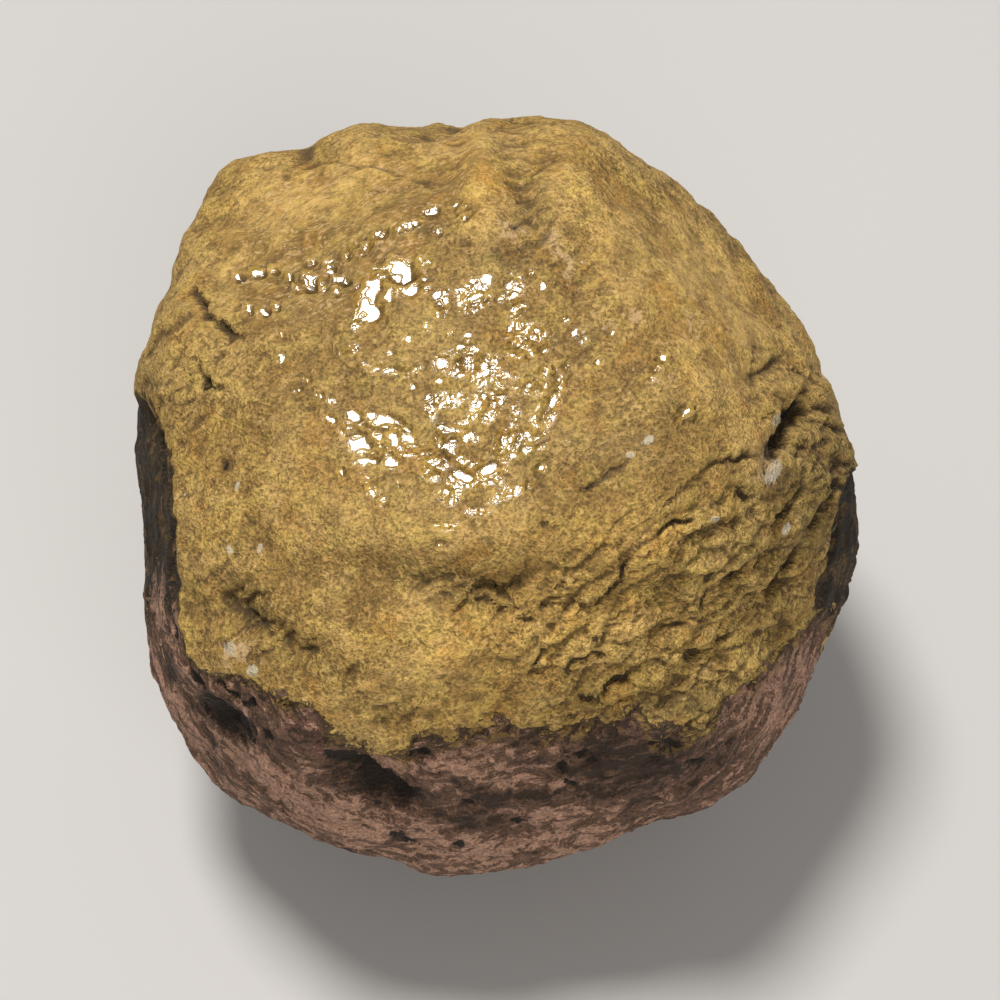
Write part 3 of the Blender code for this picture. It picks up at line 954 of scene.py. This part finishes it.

# Where the old skin is pale, partly rubbed and partly a painted reflection of pink surroundings, and
# where it is darkest and full of holes
PALE_PATCHES = (
    (-27.0, -11.0, 4.0, 0.8, 105),
    (-26.0, -18.0, 4.0, 1.0, -62),
    (-21.5, -20.5, 3.0, 0.6, -40),
    (-15.5, -25.3, 4.0, 1.3, -32),
    (-3.0, -21.3, 6.0, 0.8, 2),
    (3.0, -22.9, 4.0, 0.5, -5),
    (-8.0, -27.0, 5.0, 0.9, -14),
    (2.0, -28.4, 7.0, 0.9, 8),
    (4.0, -25.8, 5.0, 0.5, 6),
    (22.0, -16.5, 4.6, 3.0, 55),
)
DARK_PATCHES = (
    (-10.6, -23.2, 2.0, 0.8, -25),
    (-11.5, -17.9, 2.0, 0.5, -5),
    (11.0, -21.5, 5.5, 2.0, 5),
    (-22.7, -18.2, 1.6, 0.5, -36),
    (-26.8, -13.5, 0.4, 1.8, 12),
    (-2.0, -26.6, 2.0, 0.5, 0),
    (0.5, -24.3, 3.0, 0.3, 4),
)
RED_PATCHES = ((-15.2, -19.4, 2.4, 0.7, -35), (-5.0, -21.5, 2.5, 0.6, -5))

# Wide and fine hollows: how many times the surface is evened out, and the depth of a full one
HOLLOWS = {"deep": (24, 0.3), "fine": (5, 0.1)}


def hollowness(mesh, radius, spread):
    """How far each point lies below (1) or above (-1) the surface around it."""
    edges = np.empty(len(mesh.edges) * 2, np.int32)
    mesh.edges.foreach_get("vertices", edges)
    a, b = edges.reshape(-1, 2).T
    count = np.bincount(a, minlength=len(radius)) + np.bincount(b, minlength=len(radius))
    around = radius
    for _ in range(spread):
        total = np.bincount(a, around[b], len(radius)) + np.bincount(b, around[a], len(radius))
        around = 0.5 * around + 0.5 * total / count
    return around - radius


def store(name, values):
    layer = rind_mesh.attributes.new(name, "FLOAT", "POINT")
    layer.data.foreach_set("value", values.astype(np.float32))


def patched(x, y, patches):
    """How much of a set of spots each point of the seen face has."""
    return sum(blot(x, y, *patch) for patch in patches) * seen


x, y, seen = on_map(points)
bent_x, bent_y = x + torn[:, 0], y + torn[:, 1]
for name, (spread, full_depth) in HOLLOWS.items():
    store(name, np.clip(hollowness(rind_mesh, radius, spread) / full_depth, -1, 1))
store("tone", 1 + sum(change * blot(bent_x, bent_y, *place) for *place, change in TONES_AND_SHADES) * seen)
store("quartz", patched(x, y, QUARTZ_PATCHES))
store("haze", patched(bent_x, bent_y, HAZES))
store("pale", patched(x, y, PALE_PATCHES))
store("dark", patched(x, y, DARK_PATCHES))
store("red", patched(x, y, RED_PATCHES))
store("below", np.clip(below, -3, 3))
store("painted_flank_shade", painted_flank_shade)
store("rough", rough)
store("smooth", smooth)
store("damp", damp)
store("wet", wet)
store("pool", pool)
store("pits", pits)
store("crack_gap", np.clip(crack_gap, -4, 4))
store("crack_near", crack_near)

# Blooms of each colour in the crust: size, and share of the crust that each covers
BLOOMS = {"tan": (7.0, 0.5), "dun": (2.6, 0.25), "rust": (3.4, 0.16), "straw": (1.8, 0.3)}
for shift, (name, (size, cover)) in enumerate(BLOOMS.items()):
    cloud = crust(points + 50.0 * shift, size, 5)
    store(name, (cloud - np.quantile(cloud, 1 - cover)) / cloud.std())

# The way that the fibres of the flats run, and how many times as long as wide they are
FIBRE_WAY = 0.99 * ACROSS + 0.14 * UP
FIBRE_LENGTH = 2.0

# Where the grain is read: along the beds on the crust, and round the stone on the old skin
grain_place = np.where((skin > 0.5)[:, None], bent_rings, drawn / DRAWN_OUT**0.5)
fibre_place = bent * FIBRE_LENGTH + (1 - FIBRE_LENGTH) * (bent @ FIBRE_WAY)[:, None] * FIBRE_WAY
for name, places in (("grain_place", grain_place), ("fibre_place", fibre_place)):
    layer = rind_mesh.attributes.new(name, "FLOAT_VECTOR", "POINT")
    layer.data.foreach_set("vector", (places * METRES).astype(np.float32).ravel())


# The rind's finish. It is fine sandy stone stained by iron: ochre with orange and yellow blooms,
# black painted shade in the cracks, a few clear quartz grains, and a gloss on the damp places.

OCHRE = (0.325, 0.194, 0.048, 1.0)
TAN = (0.455, 0.29, 0.088, 1.0)
BROWN = (0.18, 0.10, 0.024, 1.0)
RUST = (0.37, 0.185, 0.03, 1.0)
STRAW = (0.52, 0.36, 0.085, 1.0)
# Painted shade with some dirt, laid in the hollows
DIRT_AND_SHADE = (0.06, 0.036, 0.012, 1.0)
# Black painted shade for the cracks, pits and holes
HOLLOW_SHADE_BLACK = (0.016, 0.009, 0.004, 1.0)
# Nearly black painted shade for the flanks
FLANK_SHADE_BLACK = (0.02, 0.012, 0.004, 1.0)
QUARTZ = (0.6, 0.53, 0.39, 1.0)
HAZE = (0.62, 0.42, 0.22, 1.0)
# The old skin's pinkish mauve and its pale strands are partly its own colour and partly a painted
# reflection of pink surroundings
MAUVE = (0.145, 0.075, 0.044, 1.0)
MAUVE_PALE = (0.44, 0.25, 0.165, 1.0)
MAUVE_DARK = (0.036, 0.018, 0.009, 1.0)
MAUVE_RED = (0.13, 0.04, 0.032, 1.0)

# Sizes in the finish: the grain from lumps to sand, fibres and strands, flecks and holes by how
# far apart they are, and the domes, swells and creases of the damp places
LUMP_SIZE = 1.1
GRIT_SIZE = 0.46
SAND_SIZE = 0.24
FIBRE_SIZE = 1.1
STRAND_SIZE = 0.9
FLECK_SPACING = 2.0
HOLE_SPACING = 1.9
DOME_SIZE = 0.5
SWELL_SIZE = 0.66
CREASE_SIZE = 1.6
BUMP_HEIGHT = 0.22

DRY_ROUGHNESS = 0.85
WET_ROUGHNESS = 0.13


def new_group(name, numbers, outputs):
    """An empty shader node group, given a Place and numbers, and its input and output sockets."""
    group = bpy.data.node_groups.new(name, "ShaderNodeTree")
    group.interface.new_socket("Place", in_out="INPUT", socket_type="NodeSocketVector")
    for label in numbers:
        group.interface.new_socket(label, in_out="INPUT", socket_type="NodeSocketFloat")
    for label in outputs:
        group.interface.new_socket(label, in_out="OUTPUT", socket_type="NodeSocketFloat")
    return group, group.nodes.new("NodeGroupInput").outputs, group.nodes.new("NodeGroupOutput").inputs


def fill(tree, sockets, values):
    """Gives each socket its value, or links it to the socket that its value is."""
    for socket, value in zip(sockets, values):
        if isinstance(value, bpy.types.NodeSocket):
            tree.links.new(value, socket)
        else:
            socket.default_value = value


def math_node(tree, operation, *values):
    node = tree.nodes.new("ShaderNodeMath")
    node.operation = operation
    fill(tree, node.inputs, values)
    return node.outputs[0]


def map_node(tree, value, from_low, from_high, to_low=0.0, to_high=1.0):
    node = tree.nodes.new("ShaderNodeMapRange")
    node.interpolation_type = "SMOOTHSTEP"
    fill(tree, node.inputs, (value, from_low, from_high, to_low, to_high))
    return node.outputs["Result"]


def mix_node(tree, factor, a, b, blend="MIX"):
    node = tree.nodes.new("ShaderNodeMix")
    node.data_type = "RGBA"
    node.blend_type = blend
    fill(tree, (node.inputs[0], node.inputs[6], node.inputs[7]), (factor, a, b))
    return node.outputs[2]


def noise_node(tree, place, size_mm, detail, roughness, curl=0.0):
    node = tree.nodes.new("ShaderNodeTexNoise")
    scale = math_node(tree, "DIVIDE", 1 / METRES, size_mm)
    sockets = [node.inputs[name] for name in ("Vector", "Scale", "Detail", "Roughness", "Distortion")]
    fill(tree, sockets, (place, scale, detail, roughness, curl))
    return node.outputs["Fac"]


def grit_group():
    """Gritty crust: lumps parted by creases, and plain shades, both 0 to 1."""
    group, given, result = new_group("grit", ("Size mm", "Detail", "Curl"), ("Height", "Shade"))
    cloud = noise_node(group, given["Place"], given["Size mm"], given["Detail"], 0.6, given["Curl"])
    away = math_node(group, "ABSOLUTE", math_node(group, "SUBTRACT", cloud, 0.5))
    group.links.new(map_node(group, away, 0.0, 0.1), result["Height"])
    group.links.new(map_node(group, cloud, 0.25, 0.75), result["Shade"])
    return group


def cells_of(group, given):
    """The distance from the middle of a round cell, and a colour of its own for each cell."""
    cells = group.nodes.new("ShaderNodeTexVoronoi")
    scale = math_node(group, "DIVIDE", 1 / METRES, given["Size mm"])
    fill(group, (cells.inputs["Vector"], cells.inputs["Scale"]), (given["Place"], scale))
    return cells.outputs["Distance"], cells.outputs["Color"]


def beads_group():
    """Round beads of a given size, close together: each stands up as a tiny dome, 0 to 1."""
    group, given, result = new_group("beads", ("Size mm",), ("Height",))
    away, _ = cells_of(group, given)
    squared = math_node(group, "MULTIPLY", away, away)
    group.links.new(math_node(group, "SUBTRACT", 1.0, squared), result["Height"])
    return group


def spots_group():
    """Scattered round spots: at a share of places this far apart, each up to Reach of that wide."""
    group, given, result = new_group("spots", ("Size mm", "Share", "Reach"), ("Mask",))
    away, chance = cells_of(group, given)
    split = group.nodes.new("ShaderNodeSeparateColor")
    group.links.new(chance, split.inputs["Color"])
    chosen = math_node(group, "LESS_THAN", split.outputs["Red"], given["Share"])
    width = map_node(group, split.outputs["Green"], 0.0, 1.0, 0.3, 1.0)
    inside = math_node(group, "DIVIDE", away, math_node(group, "MULTIPLY", given["Reach"], width))
    spot = math_node(group, "MULTIPLY", map_node(group, inside, 0.6, 1.0, 1.0, 0.0), chosen)
    group.links.new(spot, result["Mask"])
    return group


grit = grit_group()
beads = beads_group()
spots = spots_group()

rind_finish = bpy.data.materials.new("rind")
rind_finish.use_nodes = True
tree = rind_finish.node_tree
shader = tree.nodes["Principled BSDF"]
place = tree.nodes.new("ShaderNodeTexCoord").outputs["Object"]


def stored(name, output="Fac"):
    node = tree.nodes.new("ShaderNodeAttribute")
    node.attribute_name = name
    return node.outputs[output]


def use(group, place=place, **values):
    node = tree.nodes.new("ShaderNodeGroup")
    node.node_tree = group
    tree.links.new(place, node.inputs["Place"])
    for name, value in values.items():
        node.inputs[name.replace("_", " ")].default_value = value
    return node.outputs


def calc(operation, *values):
    return math_node(tree, operation, *values)


def times(a, b):
    return calc("MULTIPLY", a, b)


def scaled(value, share, extra):
    """The value times a share, plus an extra."""
    return calc("MULTIPLY_ADD", value, share, extra)


def ramp(value, from_low, from_high, to_low=0.0, to_high=1.0):
    return map_node(tree, value, from_low, from_high, to_low, to_high)


def blend(factor, a, b):
    return mix_node(tree, factor, a, b)


def shaded(colour, factor):
    """The colour times a number that changes over the surface."""
    grey = tree.nodes.new("ShaderNodeCombineColor")
    for socket in grey.inputs:
        tree.links.new(factor, socket)
    return mix_node(tree, 1.0, colour, grey.outputs["Color"], "MULTIPLY")


# The fine grain: lumps of grit, finer grit, sand, and fibres on the smooth flats
lie = stored("grain_place", "Vector")
lumpy = use(grit, place=lie, Size_mm=LUMP_SIZE, Detail=3.0, Curl=0.7)
gritty = use(grit, Size_mm=GRIT_SIZE, Detail=2.0, Curl=0.7)
sandy = use(grit, Size_mm=SAND_SIZE, Detail=1.0)
jitter = calc("SUBTRACT", gritty["Shade"], 0.5)
grain_share = ramp(stored("smooth"), 0.0, 1.0, 1.0, 0.3)
chippy = times(calc("SUBTRACT", lumpy["Height"], 1.0), stored("rough"))
fibres = noise_node(tree, stored("fibre_place", "Vector"), FIBRE_SIZE, 2.0, 0.6, 2.2)
fibre_share = ramp(stored("smooth"), 0.0, 1.0, 0.25, 1.0)
fibres = times(calc("SUBTRACT", ramp(fibres, 0.3, 0.7), 0.5), fibre_share)


def patches(name, jitters, strength):
    """The mask of a stored bloom, its edge roughened by the grain."""
    return ramp(scaled(jitter, jitters, stored(name)), -0.5, 0.7, 0.0, strength)


colour = blend(patches("tan", 1.2, 0.85), OCHRE, TAN)
colour = blend(patches("dun", 1.2, 0.5), colour, BROWN)
colour = blend(patches("rust", 1.2, 0.45), colour, RUST)
colour = blend(patches("straw", 1.2, 0.4), colour, STRAW)
grains = scaled(gritty["Shade"], 0.8, calc("SUBTRACT", sandy["Shade"], 0.9))
mottle = scaled(chippy, 0.4, scaled(lumpy["Shade"], 0.5, -0.25))
mottle = times(mottle, calc("ADD", stored("smooth"), 0.9))
mottle = scaled(fibres, 0.6, mottle)
speckle = ramp(scaled(grains, grain_share, mottle), -1.0, 1.0, 0.5, 1.6)
# The stored tone holds painted light and shade as well as the ochre's own tone
colour = shaded(colour, times(speckle, stored("tone")))
colour = shaded(colour, ramp(stored("damp"), 0.0, 1.0, 1.02, 0.86))
# The crests get a pale painted highlight
colour = blend(ramp(stored("fine"), 0.0, -0.9, 0.0, 0.3), colour, STRAW)
clear = ramp(scaled(jitter, 0.3, stored("quartz")), 0.42, 0.58, 0.0, 0.8)
colour = blend(clear, colour, QUARTZ)
hazy = scaled(jitter, 1.2, scaled(fibres, 1.5, stored("haze")))
colour = blend(ramp(hazy, 0.2, 1.1, 0.0, 0.7), colour, HAZE)
flecks = use(spots, Size_mm=FLECK_SPACING, Share=0.3, Reach=0.07)["Mask"]
colour = blend(times(flecks, 0.8), colour, QUARTZ)

# The old skin under the crust: pale strands drawn round the stone, partly a painted reflection, and
# lens-shaped holes painted black as shade
strands = noise_node(tree, lie, STRAND_SIZE, 4.0, 0.72, 0.4)
flaky = scaled(stored("pale"), 0.12, strands)
flaky = scaled(stored("dark"), -0.18, flaky)
flakes = ramp(flaky, 0.53, 0.6)
under = blend(ramp(flaky, 0.36, 0.52), MAUVE_DARK, MAUVE)
under = blend(times(ramp(stored("red"), 0.2, 0.9), ramp(strands, 0.4, 0.6)), under, MAUVE_RED)
under = blend(times(flakes, 0.85), under, MAUVE_PALE)
worn = scaled(gritty["Shade"], 0.5, scaled(sandy["Shade"], 0.6, 0.45))
under = shaded(under, worn)
crumbs = times(patches("straw", 3.0, 1.0), ramp(stored("below"), 2.2, 0.2))
under = blend(crumbs, under, OCHRE)
edge = scaled(calc("SUBTRACT", strands, 0.5), 5.0, stored("below"))
edge = scaled(jitter, 0.7, scaled(lumpy["Shade"], 1.0, calc("SUBTRACT", edge, 0.5)))
# Just below the crust's edge the skin is painted dark, as the shadow that the edge casts
under = blend(ramp(edge, 1.2, 0.2, 0.0, 0.6), under, MAUVE_DARK)
# The holes are painted black as shade
holes = use(spots, place=lie, Size_mm=HOLE_SPACING, Share=0.22, Reach=0.17)["Mask"]
under = blend(times(holes, 0.9), under, HOLLOW_SHADE_BLACK)

bare = ramp(edge, -0.15, 0.15)
colour = blend(bare, colour, under)
# The flanks are painted nearly black as shade where they turn away from the light
flank = scaled(jitter, 0.4, scaled(strands, 2.0, -0.95))
flank = ramp(calc("ADD", flank, stored("painted_flank_shade")), 0.4, 0.55)
flank_colour = blend(ramp(strands, 0.48, 0.66, 0.0, 0.6), FLANK_SHADE_BLACK, BROWN)
flank_colour = blend(times(flakes, stored("pale")), flank_colour, MAUVE_PALE)
flank_shade = times(scaled(gritty["Shade"], 1.0, 0.5), stored("tone"))
flank_colour = shaded(flank_colour, flank_shade)
colour = blend(flank, colour, flank_colour)

# Painted shade with some dirt in the hollows, and black painted shade in the cracks, pits and holes
# The cracks, pits and torn skin are painted black as shade
cracked = scaled(jitter, 1.6, calc("ABSOLUTE", stored("crack_gap")))
crack = times(ramp(cracked, 0.2, 1.5, 1.0, 0.0), ramp(stored("crack_near"), 0.3, 0.8))
torn_rim = times(calc("SUBTRACT", strands, 0.5), times(bare, 1.6))
pit = calc("ADD", scaled(jitter, 0.25, stored("pits")), torn_rim)
black = calc("MAXIMUM", times(crack, 0.75), ramp(pit, 0.4, 0.6))
# The hollows are darkened: painted shade, with some dirt
fine_dirt_and_shade = ramp(stored("fine"), 0.08, 0.7, 0.0, 0.55)
dirt_and_shade = calc("MAXIMUM", ramp(stored("deep"), 0.12, 0.9, 0.0, 0.75), fine_dirt_and_shade)
dirt_and_shade = times(dirt_and_shade, scaled(bare, -0.5, 1.0))
colour = blend(dirt_and_shade, colour, DIRT_AND_SHADE)
colour = blend(black, colour, HOLLOW_SHADE_BLACK)
tree.links.new(colour, shader.inputs["Base Color"])

wet_share = stored("wet")
gloss = calc("MAXIMUM", times(stored("damp"), 0.25), wet_share)
tree.links.new(ramp(gloss, 0.0, 1.0, DRY_ROUGHNESS, WET_ROUGHNESS), shader.inputs["Roughness"])

# Bumps: the grain where it is dry, and round beads on soft swells where it is damp
dome = use(beads, Size_mm=DOME_SIZE)["Height"]
swells = noise_node(tree, place, SWELL_SIZE, 1.7, 0.5)
creases = calc("ABSOLUTE", calc("SUBTRACT", noise_node(tree, place, CREASE_SIZE, 1.0, 0.5), 0.5))
dry = scaled(lumpy["Shade"], 0.6, times(gritty["Shade"], 0.5))
dry = scaled(sandy["Shade"], 0.25, scaled(chippy, 0.45, dry))
dry = scaled(crack, -0.6, times(dry, grain_share))
layers = times(scaled(flakes, 0.4, times(flaky, 2.4)), bare)
dry = calc("ADD", dry, layers)
dry = times(dry, ramp(stored("damp"), 0.0, 1.0, 1.0, 0.9))
pooled = stored("pool")
damp_bump = times(dome, ramp(pooled, 0.0, 1.0, 0.24, 0.03))
damp_bump = scaled(swells, ramp(pooled, 0.0, 1.0, 0.46, 0.14), damp_bump)
damp_bump = scaled(times(ramp(creases, 0.0, 0.05), pooled), 0.13, damp_bump)
dry = times(dry, calc("SUBTRACT", 1.0, wet_share))
height = scaled(damp_bump, wet_share, dry)
bump = tree.nodes.new("ShaderNodeBump")
bump.inputs["Strength"].default_value = 1.0
bump.inputs["Distance"].default_value = BUMP_HEIGHT * METRES
tree.links.new(height, bump.inputs["Height"])
tree.links.new(bump.outputs["Normal"], shader.inputs["Normal"])

rind_mesh.materials.append(rind_finish)
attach(rind, "root")
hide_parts("nodule")


# The studio: a pale floor, one lamp straight overhead that makes the glints, and a broad soft
# light from the front. The camera looks down on the face square-on.

STONE_MIDDLE = Vector((0.0, 0.0, BASE_DEPTH * METRES))
FLOOR_HALF = 3.0
LAMP_SIZE = 0.19
LAMP_POWER = 4.3
FRONT_WAY = (0.3, -1.0, 0.5)
FRONT_DISTANCE = 1.4
FRONT_SIZE = 1.2
FRONT_POWER = 8.3
DAYLIGHT = 0.2

# The picture's width in pixels, how many of them a metre of the stone has, and the view's shift
PICTURE_PIXELS = 1000
PIXELS_PER_METRE = 12180
FRAME_WIDTH = PICTURE_PIXELS / PIXELS_PER_METRE
FRAME_SHIFT = 0.0025
SENSOR_WIDTH = 36.0

floor_mesh = bpy.data.meshes.new("floor")
corners = [(sx * FLOOR_HALF, sy * FLOOR_HALF, 0.0) for sx, sy in ((-1, -1), (1, -1), (1, 1), (-1, 1))]
floor_mesh.from_pydata(corners, [], [(0, 1, 2, 3)])
floor = bpy.data.objects.new("floor", floor_mesh)
bpy.context.scene.collection.objects.link(floor)
paper = bpy.data.materials.new("floor paper")
paper.use_nodes = True
paper_shader = paper.node_tree.nodes["Principled BSDF"]
paper_shader.inputs["Base Color"].default_value = (0.62, 0.61, 0.6, 1.0)
paper_shader.inputs["Roughness"].default_value = 0.9
floor_mesh.materials.append(paper)


def aim(obj, toward_light, distance):
    """Places obj in a direction from the stone, looking at the stone."""
    way = Vector(toward_light).normalized()
    obj.location = STONE_MIDDLE + way * distance
    obj.rotation_mode = "QUATERNION"
    obj.rotation_quaternion = (-way).to_track_quat("-Z", "Y")


def soft_light(name, toward, distance, size, power, colour):
    lamp = bpy.data.lights.new(name, "AREA")
    lamp.shape = "DISK"
    lamp.size = size
    lamp.energy = power
    lamp.color = colour
    light = bpy.data.objects.new(name, lamp)
    bpy.context.scene.collection.objects.link(light)
    aim(light, toward, distance)


lamp_distance = LAMP_DISTANCE * METRES
soft_light("overhead lamp", LAMP_WAY, lamp_distance, LAMP_SIZE, LAMP_POWER, (1.0, 0.97, 0.93))
soft_light("front light", FRONT_WAY, FRONT_DISTANCE, FRONT_SIZE, FRONT_POWER, (1.0, 0.98, 0.95))

world = bpy.data.worlds.new("studio")
bpy.context.scene.world = world
world.use_nodes = True
world.node_tree.nodes["Background"].inputs["Color"].default_value = (1.0, 0.98, 0.95, 1.0)
world.node_tree.nodes["Background"].inputs["Strength"].default_value = DAYLIGHT

camera = bpy.data.objects.new("camera", bpy.data.cameras.new("camera"))
bpy.context.scene.collection.objects.link(camera)
aim(camera, OUT, EYE_DISTANCE * METRES)
camera.data.sensor_width = SENSOR_WIDTH
camera.data.lens = SENSOR_WIDTH * EYE_DISTANCE * METRES / FRAME_WIDTH
camera.data.shift_x = FRAME_SHIFT
camera.data.clip_start = 0.01
bpy.context.scene.camera = camera
bpy.context.scene.view_settings.view_transform = "Standard"
